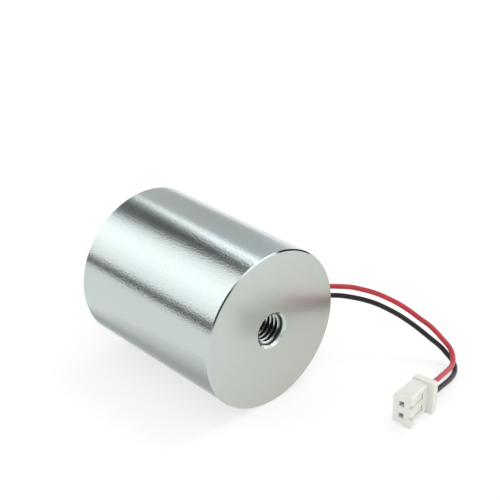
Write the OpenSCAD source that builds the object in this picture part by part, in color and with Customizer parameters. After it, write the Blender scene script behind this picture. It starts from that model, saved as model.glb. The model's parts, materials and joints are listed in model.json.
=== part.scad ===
// Holding electromagnet: a plated steel pot with a tapped mounting face, a coil round a steel
// core, and two short leads that end in a two-way crimp connector. All sizes in millimetres.
// The magnet lies on its side: its axis is along X with +X out of the mounting face, Z is up,
// and the origin is on the surface it lies on, under the middle of the shell.

/* [Shell] */
// Outer diameter of the steel shell
shell_d = 25; // [23:0.5:32]
// Length of the shell from pole face to mounting face
shell_len = 29; // [25:0.5:45]
// Thickness of the shell's side wall
shell_wall = 2.2; // [1.6:0.1:2.8]
// Thickness of the closed mounting end
end_wall = 4; // [3:0.25:7]
// Chamfer on the shell's outer edges
edge_chamfer = 0.2; // [0.1:0.05:0.6]

/* [Mounting thread] */
// Nominal diameter of the tapped hole
thread_d = 5; // [3:1:6]
// Depth of the tapped hole below the mounting face
thread_depth = 9; // [7:0.5:14]
// Width of the countersunk ring round the mouth of the hole
countersink_rim = 0.35; // [0.2:0.05:0.6]
// Point angle of the drilled bottom of the hole
drill_angle = 118; // [90:1:140]

/* [Core] */
// Diameter of the steel core
core_d = 10.5; // [9:0.5:11.5]
// Depth of the blind socket that the core is pressed into
core_seat = 1.5; // [1:0.25:2.5]
// Chamfer on the core's pole edge
core_chamfer = 0.2; // [0.1:0.05:0.4]

/* [Coil] */
// Wall of the bobbin's tube
bobbin_wall = 0.7; // [0.5:0.1:1]
// Thickness of the bobbin's flanges
flange_t = 0.8; // [0.5:0.1:1.2]
// Depth of the winding below the rim of the flanges
winding_margin = 0.8; // [0.5:0.1:1.2]
// Thickness of the tape round the winding
tape_t = 0.15; // [0.1:0.05:0.3]
// Diameter of the winding's two tail wires
tail_d = 0.3; // [0.2:0.05:0.4]
// Depth of the resin seal below the pole face
potting_t = 2.2; // [1.5:0.1:4]
// How far the resin stands back from the pole face
potting_recess = 0.2; // [0.2:0.05:0.5]

/* [Lead exit] */
// Outer diameter of each lead
lead_d = 0.8; // [0.6:0.05:1]
// Distance between the two leads in the grommet
lead_spacing = 1.6; // [1.6:0.1:2.2]
// Angle of the lead hole below the horizontal
exit_tilt = 6; // [0:1:12]
// Rubber left round the lead holes in the grommet's neck
grommet_wall = 0.25; // [0.2:0.05:0.6]
// How far the grommet's outer flange stands out round its neck
grommet_lip = 0.6; // [0.4:0.05:1]
// How far the grommet's inner flange stands out round its neck
grommet_catch = 0.2; // [0.15:0.05:0.4]
// Thickness of the grommet's flanges
grommet_flange_t = 0.6; // [0.4:0.05:0.9]
// Wall of the sleeves over the lead joints
sleeve_wall = 0.25; // [0.15:0.05:0.3]

/* [Connector] */
// Distance between the two contacts
pitch = 2; // [1.9:0.05:2.5]
// Length of the housing from its mating face to its wire side
housing_len = 6.1; // [5.8:0.1:8]
// Width of each contact cavity across the contacts
cavity_w = 1.5; // [1.45:0.05:1.6]
// Depth of each contact cavity
cavity_depth = 1.8; // [1.7:0.05:2]
// Housing wall outside the cavities
side_wall = 0.6; // [0.5:0.05:1]
// Housing wall under the cavities
base_wall = 0.7; // [0.5:0.05:1]
// Housing wall over the cavities, in the recess
cover_wall = 0.2; // [0.15:0.05:0.4]
// Housing wall in front of the cavities
mating_wall = 0.8; // [0.6:0.05:1]
// Length of the front block at the mating end
front_len = 1.1; // [1:0.05:1.4]
// Height of the front block above the recess
front_lip = 0.5; // [0.3:0.05:0.8]
// Length of the collar at the wire side
collar_len = 1.1; // [0.7:0.05:1.2]
// Height of the collar above the recess
collar_lip = 1; // [0.6:0.05:1.3]
// How far the collar stands out from the housing's sides
collar_rise = 0.3; // [0.1:0.05:0.5]
// Radius of the rounded ears on the front block
ear_r = 1.2; // [1:0.05:1.4]
// How far each ear stands out from the housing's side
ear_rise = 0.35; // [0.2:0.05:0.5]
// Size of the square pin holes in the mating face
pin_hole = 0.85; // [0.7:0.05:0.95]
// Width of the windows over the contacts
window_w = 1.1; // [0.9:0.05:1.3]
// Length of the windows over the contacts
window_len = 2.6; // [2.2:0.1:2.8]
// Width of the notches in the front block over the contacts
notch_w = 0.7; // [0.5:0.05:0.9]
// Chamfer on the housing's long edges
housing_chamfer = 0.2; // [0.1:0.05:0.3]
// Thickness of the contacts' sheet metal
contact_t = 0.18; // [0.15:0.01:0.22]

/* [Fits] */
// Clearance of a lead in its holes, all round
lead_clear = 0.05; // [0.03:0.01:0.1]
// Clearance of the bobbin on the core and in the shell, all round
bobbin_clear = 0.1; // [0.05:0.05:0.2]
// Clearance of a contact in its cavity, all round
contact_clear = 0.1; // [0.05:0.01:0.12]
// Clearance between pieces that lie side by side in the joint chamber
chamber_clear = 0.1; // [0.05:0.05:0.2]

/* [Hidden] */
$fn = 96;

// Radii about the magnet's axis
shell_r = shell_d / 2;
shell_in_r = shell_r - shell_wall;
core_r = core_d / 2;
thread_r = thread_d / 2;
countersink_r = thread_r + countersink_rim;
tube_in_r = core_r + bobbin_clear;
tube_r = tube_in_r + bobbin_wall;
flange_r = shell_in_r - bobbin_clear;
winding_r = flange_r - winding_margin;

// The axis lies one shell radius above the surface
axis_z = shell_r;

// Places along the axis, measured from the pole face
floor_z = shell_len - end_wall;
seat_z = floor_z + core_seat;
bore_z = shell_len - thread_depth;
drill_tip = thread_r / tan(drill_angle / 2);

// Lead exit: heights are measured from the axis along the direction of the hole
lead_hole_d = lead_d + 2 * lead_clear;
neck_r = (lead_spacing + lead_hole_d) / 2 + grommet_wall;
catch_r = neck_r + grommet_catch;
lip_r = neck_r + grommet_lip;
spot_r = lip_r + chamber_clear;
chamber_len = 2 * (catch_r + chamber_clear);
exit_x = shell_len / 2 - end_wall - chamber_len / 2;
flat_h = sqrt(pow(shell_r, 2) - pow(spot_r, 2)) - chamber_clear;
catch_h = sqrt(pow(shell_in_r, 2) - pow(catch_r, 2)) - lead_clear;
mouth_h = flat_h + grommet_flange_t;
tail_h = tube_r + tail_d / 2 + chamber_clear;
tail_bend = tail_d;
sleeve_h = tail_h + tail_d / 2 + chamber_clear;
sleeve_len = catch_h - grommet_flange_t - chamber_clear - sleeve_h;
joint_h = sleeve_h + sleeve_len / 2;

// Bobbin, from the resin to the closed end
front_flange_z = potting_t;
winding_z = front_flange_z + flange_t;
rear_flange_z = floor_z - chamber_len - flange_t;
winding_len = rear_flange_z - winding_z;

// Connector: x is its thickness, y runs back from the mating face, z is across the contacts
body_w = pitch + cavity_w + 2 * side_wall;
recess_t = base_wall + cavity_depth + cover_wall;
front_t = recess_t + front_lip;
collar_t = recess_t + collar_lip;
mid_z = body_w / 2 + max(ear_rise, collar_rise);
ear_t = front_t - ear_r / 2;
contact_z = [mid_z + pitch / 2, mid_z - pitch / 2];

// Contact: a box spring in front, then a wire barrel and a raised insulation barrel on one strip
floor_t = base_wall + contact_clear;
box_w = cavity_w - 2 * contact_clear;
box_t = pin_hole + 2 * contact_t;
box_y = mating_wall + contact_clear;
box_len = 2.3;
pin_t = floor_t + box_t / 2;
strip_neck = 0.4;
wire_r = 0.28;
wire_barrel_y = box_y + box_len + strip_neck;
wire_barrel_len = 0.8;
insulation_r = lead_d / 2 + lead_clear;
insulation_rise = 0.57;
insulation_floor_t = floor_t + insulation_rise;
mouth_y = housing_len - collar_len + cover_wall;
insulation_y = mouth_y + contact_clear;
insulation_len = housing_len - contact_clear - insulation_y;
lead_t = insulation_floor_t + contact_t + insulation_r;
lance_rise = 0.45;
lance_w = 0.6;

// The cavities' wider mouth in the collar clears the insulation barrels
mouth_t = lead_t + insulation_r + contact_t + contact_clear;

// Where the connector lies: its mating corner and its turn about the vertical
connector_x = 30.1;
connector_y = 9.4;
connector_yaw = 8;

// Free stretches of the two leads, from the grommet round to the back of the connector
red_route = [
    [9.2, 14.3, 11.9], [10, 16.1, 11.8], [11, 17.8, 11.55], [12.2, 19.4, 11.3],
    [13.45, 20.85, 10.8], [14.8, 22.25, 10.2], [16.25, 23.5, 9.4], [17.6, 24.6, 8.55],
    [19.15, 25.6, 7.5], [20.55, 26.45, 6.4], [22.1, 27.2, 5.4], [23.65, 27.6, 4.3],
    [25.3, 27.6, 3.4], [26.1, 27.5, 2.95], [26.8, 27.2, 2.5], [27.4, 26.7, 2.1],
    [28, 25.9, 1.9], [28.7, 24.55, 2.1], [29.35, 22.9, 2.5], [30.45, 19.55, 3.3],
    [31.1, 17.1, 3.7]];
black_route = [
    [9.2, 14.3, 10.3], [10.1, 16.1, 10.2], [11.2, 17.8, 10], [12.5, 19.3, 9.65],
    [13.9, 20.7, 9.2], [15.3, 22.05, 8.55], [16.8, 23.25, 7.7], [18.2, 24.3, 6.8],
    [19.75, 25.3, 5.7], [21.15, 26.2, 4.55], [22.65, 26.95, 3.4], [24.3, 27.5, 2.4],
    [26, 27.55, 1.45], [26.9, 27.3, 1.1], [27.75, 26.8, 0.8], [28.4, 26.05, 0.6],
    [28.9, 25.1, 0.5], [29.4, 23.85, 0.7], [29.85, 22.4, 0.95], [30.6, 19.4, 1.45],
    [31.1, 17.1, 1.7]];

// Sides of the leads' tubes
tube_sides = 8;

// A point h out from the axis along the lead hole, and s up across it
function exit_point(h, s) = [
    exit_x,
    h * cos(exit_tilt) + s * sin(exit_tilt),
    axis_z - h * sin(exit_tilt) + s * cos(exit_tilt)];

// A point in the connector's own axes
function connector_point(t, y, z) = [
    connector_x + t * cos(connector_yaw) - y * sin(connector_yaw),
    connector_y + t * sin(connector_yaw) + y * cos(connector_yaw),
    z];

// A lead's whole path: from its joint, through the grommet, along its route, into its contact
function lead_path(route, s, z) = concat(
    [exit_point(joint_h + lead_clear, s), exit_point((joint_h + mouth_h) / 2, s), exit_point(mouth_h, s)],
    route,
    [connector_point(lead_t, housing_len, z), connector_point(lead_t, insulation_y, z)]);

function unit(v) = v / norm(v);

// Direction of a path at its point i
function heading(path, i) = unit(path[min(i + 1, len(path) - 1)] - path[max(i - 1, 0)]);

// One ring of a tube, square to the path
function ring(path, i, r) =
    let (ahead = heading(path, i), side = unit(cross(ahead, [0, 0, 1])), top = cross(side, ahead))
    [for (k = [0:tube_sides - 1])
        path[i] + r * (cos(360 * k / tube_sides) * side + sin(360 * k / tube_sides) * top)];

// Lay children along the magnet's axis: z = 0 at the pole face, rising to the mounting face
module along_axis() {
    translate([-shell_len / 2, 0, axis_z]) rotate([0, 90, 0]) children();
}

// Lay children along the lead hole: z is the height out from the axis, -y is up across it
module at_exit() {
    translate([exit_x, 0, axis_z]) rotate([-90 - exit_tilt, 0, 0]) children();
}

// Lay children in the connector's own axes
module at_connector() {
    translate([connector_x, connector_y, 0]) rotate([0, 0, connector_yaw]) children();
}

// A tube swept along a path
module tube(path, r) {
    last = len(path) - 1;
    corners = [for (i = [0:last]) each ring(path, i, r)];
    start_cap = [[for (k = [0:tube_sides - 1]) k]];
    end_cap = [[for (k = [tube_sides - 1:-1:0]) last * tube_sides + k]];
    walls = [
        for (i = [0:last - 1], k = [0:tube_sides - 1])
            let (a = i * tube_sides + k, b = i * tube_sides + (k + 1) % tube_sides)
            each [[a, a + tube_sides, b], [b, a + tube_sides, b + tube_sides]]];
    polyhedron(points = corners, faces = concat(start_cap, end_cap, walls));
}

// Steel pot: side wall, closed end with the core's socket, tapped hole and lead hole
module shell() {
    color([0.78, 0.8, 0.81]) difference() {
        along_axis() rotate_extrude() polygon([
            [shell_in_r, 0],
            [shell_r - edge_chamfer, 0],
            [shell_r, edge_chamfer],
            [shell_r, shell_len - edge_chamfer],
            [shell_r - edge_chamfer, shell_len],
            [countersink_r, shell_len],
            [thread_r, shell_len - countersink_rim],
            [thread_r, seat_z],
            [core_r, seat_z],
            [core_r, floor_z],
            [shell_in_r, floor_z]]);
        at_exit() translate([0, 0, shell_in_r - shell_wall]) cylinder(r = neck_r, h = 3 * shell_wall);
        at_exit() translate([0, 0, flat_h]) cylinder(r = spot_r, h = shell_wall);
    }
}

// Steel pole, with the lower part of the tapped hole in its seated end
module core() {
    color([0.7, 0.72, 0.74]) along_axis() rotate_extrude() polygon([
        [0, 0],
        [core_r - core_chamfer, 0],
        [core_r, core_chamfer],
        [core_r, seat_z],
        [thread_r, seat_z],
        [thread_r, bore_z],
        [0, bore_z - drill_tip]]);
}

// Coil former: a tube with two flanges, whose tail stands against the closed end
module bobbin() {
    color([0.92, 0.9, 0.82]) difference() {
        along_axis() rotate_extrude() polygon([
            [tube_in_r, front_flange_z],
            [flange_r, front_flange_z],
            [flange_r, winding_z],
            [tube_r, winding_z],
            [tube_r, rear_flange_z],
            [flange_r, rear_flange_z],
            [flange_r, rear_flange_z + flange_t],
            [tube_r, rear_flange_z + flange_t],
            [tube_r, floor_z],
            [tube_in_r, floor_z]]);
        for (s = [-0.5, 0.5] * lead_spacing)
            translate(exit_point(tail_h, s)) rotate([0, -90, 0])
                cylinder(d = tail_d + 2 * chamber_clear, h = chamber_len / 2 + flange_t + chamber_clear);
    }
}

// One tail wire: back out of the winding, through the rear flange, then bent up into its sleeve
module winding_tail(s) {
    at_exit() translate([0, -s, tail_h]) {
        translate([-tail_bend, 0, 0]) rotate([0, -90, 0])
            cylinder(d = tail_d, h = chamber_len / 2 + flange_t + tail_d - tail_bend);
        translate([-tail_bend, 0, tail_bend]) rotate([90, 0, 0]) rotate([0, 0, -90])
            rotate_extrude(angle = 90) translate([tail_bend, 0]) circle(d = tail_d);
        translate([0, 0, tail_bend])
            cylinder(d = tail_d, h = joint_h - tail_h - tail_bend - lead_clear);
    }
}

// Copper coil
module winding() {
    color([0.72, 0.4, 0.18]) {
        along_axis() translate([0, 0, winding_z]) rotate_extrude()
            translate([tube_r, 0]) square([winding_r - tube_r, winding_len]);
        for (s = [-0.5, 0.5] * lead_spacing) winding_tail(s);
    }
}

// Tape round the coil
module winding_tape() {
    color([0.86, 0.72, 0.2]) along_axis() translate([0, 0, winding_z]) rotate_extrude()
        translate([winding_r, 0]) square([tape_t, winding_len]);
}

// Resin between core and shell at the pole face
module potting_ring() {
    color([0.14, 0.14, 0.15]) along_axis() translate([0, 0, potting_recess]) rotate_extrude()
        translate([core_r, 0]) square([shell_in_r - core_r, potting_t - potting_recess]);
}

// Rubber grommet, with a flange on each side of the shell's wall and a hole for each lead
module lead_grommet() {
    color([0.12, 0.12, 0.12]) at_exit() difference() {
        rotate_extrude() polygon([
            [0, catch_h - grommet_flange_t],
            [catch_r - grommet_catch, catch_h - grommet_flange_t],
            [catch_r, catch_h - grommet_flange_t / 2],
            [catch_r, catch_h],
            [neck_r, catch_h],
            [neck_r, flat_h],
            [lip_r, flat_h],
            [lip_r, mouth_h - grommet_flange_t / 2],
            [lip_r - grommet_flange_t / 2, mouth_h],
            [0, mouth_h]]);
        for (s = [-0.5, 0.5] * lead_spacing)
            translate([0, s, joint_h]) cylinder(d = lead_hole_d, h = shell_r);
    }
}

// Shrunk sleeve over the joint of a tail wire and a lead
module splice_sleeve(s) {
    at_exit() translate([0, -s, sleeve_h]) rotate_extrude()
        translate([lead_hole_d / 2, 0]) square([sleeve_wall, sleeve_len]);
}

module red_splice_sleeve() { color([0.2, 0.2, 0.22]) splice_sleeve(lead_spacing / 2); }
module black_splice_sleeve() { color([0.2, 0.2, 0.22]) splice_sleeve(-lead_spacing / 2); }

module red_lead() {
    color([0.78, 0.2, 0.24]) tube(lead_path(red_route, lead_spacing / 2, contact_z[0]), lead_d / 2);
}

module black_lead() {
    color([0.16, 0.16, 0.16]) tube(lead_path(black_route, -lead_spacing / 2, contact_z[1]), lead_d / 2);
}

// A length of the housing: thickness t, width w, from y0 back to y1, with its long edges chamfered
module housing_bar(t, w, y0, y1) {
    c = housing_chamfer;
    low = mid_z - w / 2;
    high = mid_z + w / 2;
    translate([0, y1, 0]) rotate([90, 0, 0]) linear_extrude(y1 - y0) polygon([
        [c, low], [t - c, low], [t, low + c], [t, high - c],
        [t - c, high], [c, high], [0, high - c], [0, low + c]]);
}

// The rounded ears at both ends of the front block
module housing_ears() {
    rise = body_w / 2 + ear_rise;
    intersection() {
        for (side = [-1, 1])
            translate([ear_t, front_len, mid_z + side * (rise - ear_r)]) rotate([90, 0, 0])
                cylinder(r = ear_r, h = front_len);
        translate([0, 0, mid_z - rise]) cube([front_t, front_len, 2 * rise]);
    }
}

// What is open for one contact: its cavity and mouth, pin hole, window and notch
module contact_opening(z) {
    reach = collar_t;
    translate([base_wall, mating_wall, z - cavity_w / 2]) cube([cavity_depth, housing_len, cavity_w]);
    translate([base_wall, mouth_y, z - cavity_w / 2])
        cube([mouth_t - base_wall, housing_len, cavity_w]);
    translate([pin_t - pin_hole / 2, -mating_wall, z - pin_hole / 2])
        cube([pin_hole, 3 * mating_wall, pin_hole]);
    translate([base_wall + cavity_depth / 2, front_len, z - window_w / 2])
        cube([reach, window_len, window_w]);
    translate([recess_t, -front_len, z - notch_w / 2]) cube([reach, 3 * front_len, notch_w]);
}

// Moulded two-way housing: front block with ears, recessed middle with windows, rear collar
module connector_housing() {
    color([0.93, 0.93, 0.9]) at_connector() difference() {
        union() {
            housing_bar(front_t, body_w, 0, front_len);
            housing_bar(recess_t, body_w, front_len, housing_len - collar_len);
            housing_bar(collar_t, body_w + 2 * collar_rise, housing_len - collar_len, housing_len);
            housing_ears();
        }
        for (z = contact_z) contact_opening(z);
    }
}

// One barrel of a contact, rolled up from the strip at t
module contact_barrel(t, y, inner_r, barrel_len) {
    translate([t + contact_t + inner_r, y + barrel_len, 0]) rotate([90, 0, 0]) rotate_extrude()
        translate([inner_r, 0]) square([contact_t, barrel_len]);
}

// The strip that carries a contact's barrels, stepped up to the insulation barrel
module contact_strip() {
    bottom = [
        [floor_t, box_y + box_len],
        [floor_t, wire_barrel_y + wire_barrel_len],
        [insulation_floor_t, insulation_y],
        [insulation_floor_t, insulation_y + insulation_len]];
    top = [for (i = [len(bottom) - 1:-1:0]) bottom[i] + [contact_t, 0]];
    translate([0, 0, -wire_r]) linear_extrude(2 * wire_r) polygon(concat(bottom, top));
}

// Crimp contact: box spring with its locking lance, then the strip and its two barrels
module terminal(z) {
    at_connector() translate([0, 0, z]) {
        difference() {
            translate([floor_t, box_y, -box_w / 2]) cube([box_t, box_len, box_w]);
            translate([floor_t + contact_t, box_y - box_len, contact_t - box_w / 2])
                cube([pin_hole, 3 * box_len, box_w - 2 * contact_t]);
        }
        translate([floor_t + box_t, box_y + box_len / 2, -lance_w / 2]) linear_extrude(lance_w)
            polygon([[-contact_t, -box_len / 4], [0, -box_len / 4], [lance_rise, box_len / 4],
                     [lance_rise - contact_t, box_len / 4]]);
        contact_strip();
        contact_barrel(floor_t, wire_barrel_y, wire_r, wire_barrel_len);
        contact_barrel(insulation_floor_t, insulation_y, insulation_r, insulation_len);
    }
}

module red_terminal() { color([0.8, 0.72, 0.52]) terminal(contact_z[0]); }
module black_terminal() { color([0.8, 0.72, 0.52]) terminal(contact_z[1]); }

shell();
core();
bobbin();
winding();
winding_tape();
potting_ring();
lead_grommet();
red_splice_sleeve();
black_splice_sleeve();
red_lead();
black_lead();
connector_housing();
red_terminal();
black_terminal();
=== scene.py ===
"""Finishes for a holding electromagnet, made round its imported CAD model.

The leads, the mounting thread, the resin seal and the springs of the connector's contacts are
built here, every piece gets its finish, and the magnet is set on a pale floor under soft studio
light.
"""

import json
import math

import bmesh
import bpy
from bpy.props import FloatProperty, FloatVectorProperty, IntProperty, PointerProperty
from mathutils import Matrix, Vector

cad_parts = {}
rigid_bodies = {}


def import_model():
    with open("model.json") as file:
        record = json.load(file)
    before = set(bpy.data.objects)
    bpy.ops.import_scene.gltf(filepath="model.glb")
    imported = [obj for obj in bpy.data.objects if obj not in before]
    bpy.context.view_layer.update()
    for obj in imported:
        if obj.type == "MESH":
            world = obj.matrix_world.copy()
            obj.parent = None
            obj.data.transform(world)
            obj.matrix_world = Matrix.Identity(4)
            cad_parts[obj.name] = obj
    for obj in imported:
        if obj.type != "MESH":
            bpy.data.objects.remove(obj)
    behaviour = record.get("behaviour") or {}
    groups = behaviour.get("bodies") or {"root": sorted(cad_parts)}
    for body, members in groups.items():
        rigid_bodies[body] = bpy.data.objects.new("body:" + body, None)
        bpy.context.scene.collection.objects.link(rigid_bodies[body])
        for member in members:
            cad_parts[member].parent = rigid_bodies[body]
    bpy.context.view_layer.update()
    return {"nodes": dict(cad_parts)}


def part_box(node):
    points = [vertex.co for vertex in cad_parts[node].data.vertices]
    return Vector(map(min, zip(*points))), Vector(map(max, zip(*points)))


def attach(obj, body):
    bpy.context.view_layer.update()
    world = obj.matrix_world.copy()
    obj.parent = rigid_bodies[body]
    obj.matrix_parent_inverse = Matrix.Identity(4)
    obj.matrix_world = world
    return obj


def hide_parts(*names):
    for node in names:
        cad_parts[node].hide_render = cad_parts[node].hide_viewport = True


bl_info = {
    "name": "Holding Electromagnet",
    "version": (1, 0, 0),
    "blender": (4, 5, 0),
    "location": "3D View > Sidebar > Magnet",
    "description": "Leads, thread, resin and finishes for a holding electromagnet",
    "category": "Object",
}

for startup_object in list(bpy.data.objects):
    bpy.data.objects.remove(startup_object)
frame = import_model()

MM = 0.001
BODY = "root"

SHELL_LOW, SHELL_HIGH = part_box("shell")
AXIS_Z = (SHELL_LOW.z + SHELL_HIGH.z) / 2
AXIS_SHIFT = (0, 0, -AXIS_Z)
FACE_X = SHELL_HIGH.x
SHELL_R = (SHELL_HIGH.z - SHELL_LOW.z) / 2
CORE_R = (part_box("core")[1].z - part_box("core")[0].z) / 2
RESIN_LOW, RESIN_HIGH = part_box("potting_ring")
RESIN_R = (RESIN_HIGH.z - RESIN_LOW.z) / 2

# The leads' routes in millimetres, from the joint in the shell to the crimp in the connector.
RED_ROUTE = (
    (8.7, 8.069, 12.456), (8.7, 10.442, 12.209), (8.7, 12.818, 11.957),
    (9.2, 14.3, 11.9), (10, 16.1, 11.8), (11, 17.8, 11.55), (12.2, 19.4, 11.3),
    (13.45, 20.85, 10.8), (14.8, 22.25, 10.2), (16.25, 23.5, 9.4), (17.6, 24.6, 8.55),
    (19.15, 25.6, 7.5), (20.55, 26.45, 6.4), (22.1, 27.2, 5.4), (23.65, 27.6, 4.3),
    (25.3, 27.6, 3.4), (26.1, 27.5, 2.95), (26.8, 27.2, 2.5), (27.4, 26.7, 2.1),
    (28, 25.9, 1.9), (28.7, 24.55, 2.1), (29.35, 22.9, 2.5), (30.45, 19.55, 3.3),
    (31.1, 17.1, 3.7),
    (31.232, 15.719, 3.7), (31.343, 14.927, 3.7),
)
BLACK_ROUTE = (
    (8.7, 7.902, 10.865), (8.7, 10.275, 10.618), (8.7, 12.651, 10.366),
    (9.2, 14.3, 10.3), (10.1, 16.1, 10.2), (11.2, 17.8, 10), (12.5, 19.3, 9.65),
    (13.9, 20.7, 9.2), (15.3, 22.05, 8.55), (16.8, 23.25, 7.7), (18.2, 24.3, 6.8),
    (19.75, 25.3, 5.7), (21.15, 26.2, 4.55), (22.65, 26.95, 3.4), (24.3, 27.5, 2.4),
    (26, 27.55, 1.45), (26.9, 27.3, 1.1), (27.75, 26.8, 0.8), (28.4, 26.05, 0.6),
    (28.9, 25.1, 0.5), (29.4, 23.85, 0.7), (29.85, 22.4, 0.95), (30.6, 19.4, 1.45),
    (31.1, 17.1, 1.7),
    (31.232, 15.719, 1.7), (31.343, 14.927, 1.7),
)
# The connector's mating corner in millimetres, and its turn about the vertical.
CONNECTOR_CORNER = (30.1, 9.4, 0)
CONNECTOR_TURN = math.radians(8)
# The under side of a contact's spring in millimetres: how far back from the connector's mating
# end, and how far out from its base.
SPRING_CURVE = ((1.2, 2.30), (1.6, 2.37), (2.0, 2.43), (2.4, 2.47), (2.8, 2.49), (3.2, 2.50),
                (3.55, 2.50))


class MagnetLeadSettings(bpy.types.PropertyGroup):
    """Sizes and colours of the leads"""

    diameter: FloatProperty(
        name="Diameter", description="Outer diameter of each lead's insulation",
        default=0.8 * MM, unit="LENGTH", precision=5)
    sides: IntProperty(
        name="Sides", description="Sides of the insulation's tube", default=20, min=8)
    steps: IntProperty(
        name="Steps", description="Rings between two points of a route", default=7, min=2)
    red: FloatVectorProperty(
        name="Red", description="Colour of the red insulation",
        default=(0.44, 0.027, 0.040), subtype="COLOR", min=0, max=1)
    black: FloatVectorProperty(
        name="Black", description="Colour of the black insulation",
        default=(0.009, 0.0088, 0.0088), subtype="COLOR", min=0, max=1)


class MagnetConnectorSettings(bpy.types.PropertyGroup):
    """Sizes of the springs in the connector's windows"""

    spring_width: FloatProperty(
        name="Spring Width", description="Width of each contact's spring",
        default=0.94 * MM, unit="LENGTH", precision=5)
    spring_thickness: FloatProperty(
        name="Spring Thickness", description="Thickness of each contact's spring",
        default=0.11 * MM, unit="LENGTH", precision=5)
    spring_edge: FloatProperty(
        name="Spring Edge", description="Size of the rounding on the spring's edges",
        default=0.03 * MM, unit="LENGTH", precision=5)


class MagnetThreadSettings(bpy.types.PropertyGroup):
    """Sizes of the mounting thread's ridge"""

    radius: FloatProperty(
        name="Radius", description="Outer radius of the thread, which is the bore's",
        default=2.5 * MM, unit="LENGTH", precision=5)
    pitch: FloatProperty(
        name="Pitch", description="Distance from crest to crest",
        default=0.8 * MM, unit="LENGTH", precision=5)
    height: FloatProperty(
        name="Height", description="Height of the ridge above the bore's wall",
        default=0.42 * MM, unit="LENGTH", precision=5)
    base: FloatProperty(
        name="Base", description="Width of the ridge at the bore's wall",
        default=0.68 * MM, unit="LENGTH", precision=5)
    crest: FloatProperty(
        name="Crest", description="Width of the ridge's flat crest",
        default=0.14 * MM, unit="LENGTH", precision=5)
    sink: FloatProperty(
        name="Sink", description="How far the ridge's foot is set into the wall",
        default=0.02 * MM, unit="LENGTH", precision=5)
    start: FloatProperty(
        name="Start", description="Depth of the first turn below the mounting face",
        default=0.35 * MM, unit="LENGTH", precision=5)
    turns: FloatProperty(
        name="Turns", description="Number of turns", default=9.75, min=1)
    points: IntProperty(
        name="Points", description="Points in each turn", default=72, min=12)


class MagnetFinishSettings(bpy.types.PropertyGroup):
    """Colours of the magnet's finishes, and the creep of its resin"""

    zinc: FloatVectorProperty(
        name="Zinc", description="Colour of the zinc plate",
        default=(0.588, 0.622, 0.597), subtype="COLOR", min=0, max=1)
    steel: FloatVectorProperty(
        name="Steel", description="Colour of the turned core",
        default=(0.56, 0.565, 0.57), subtype="COLOR", min=0, max=1)
    resin: FloatVectorProperty(
        name="Resin", description="Colour of the resin seal",
        default=(0.016, 0.016, 0.018), subtype="COLOR", min=0, max=1)
    rubber: FloatVectorProperty(
        name="Rubber", description="Colour of the grommet",
        default=(0.02, 0.02, 0.02), subtype="COLOR", min=0, max=1)
    nylon: FloatVectorProperty(
        name="Nylon", description="Colour of the connector's moulding",
        default=(0.73, 0.73, 0.70), subtype="COLOR", min=0, max=1)
    contact: FloatVectorProperty(
        name="Contact", description="Colour of the tinned contacts",
        default=(0.80, 0.77, 0.67), subtype="COLOR", min=0, max=1)
    copper: FloatVectorProperty(
        name="Copper", description="Colour of the enamelled wire",
        default=(0.60, 0.22, 0.07), subtype="COLOR", min=0, max=1)
    film: FloatVectorProperty(
        name="Film", description="Colour of the tape round the coil",
        default=(0.72, 0.48, 0.05), subtype="COLOR", min=0, max=1)
    bobbin: FloatVectorProperty(
        name="Bobbin", description="Colour of the coil former",
        default=(0.78, 0.74, 0.62), subtype="COLOR", min=0, max=1)
    sleeve: FloatVectorProperty(
        name="Sleeve", description="Colour of the shrunk sleeves",
        default=(0.03, 0.03, 0.032), subtype="COLOR", min=0, max=1)
    meniscus: FloatProperty(
        name="Meniscus", description="How far the resin creeps up the steel",
        default=0.12 * MM, unit="LENGTH", precision=5)


class MagnetStageSettings(bpy.types.PropertyGroup):
    """Camera, floor and light"""

    eye: FloatVectorProperty(
        name="Eye", description="Place of the camera",
        default=(0.121492, -0.104201, 0.103884), subtype="TRANSLATION", precision=5)
    view: FloatVectorProperty(
        name="View", description="Direction that the camera looks in",
        default=(-0.6476, 0.6042, -0.4640), subtype="DIRECTION", precision=4)
    lens: FloatProperty(
        name="Lens", description="Focal length of the camera in millimetres",
        default=86.848, min=1, unit="CAMERA")
    floor: FloatVectorProperty(
        name="Floor", description="Colour of the floor",
        default=(0.985, 0.985, 0.985), subtype="COLOR", min=0, max=1)
    paleness: FloatProperty(
        name="Paleness", description="How far the floor's shadows fade to white",
        default=0.62, min=0, max=1, subtype="FACTOR")
    fill: FloatProperty(
        name="Fill", description="Strength of the light from all round",
        default=0.95, min=0)
    softbox: FloatProperty(
        name="Softbox", description="Brightness of the large softbox",
        default=0.85, min=0)
    top_light: FloatProperty(
        name="Top Light", description="Brightness of the small light above",
        default=4.0, min=0)


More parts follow.
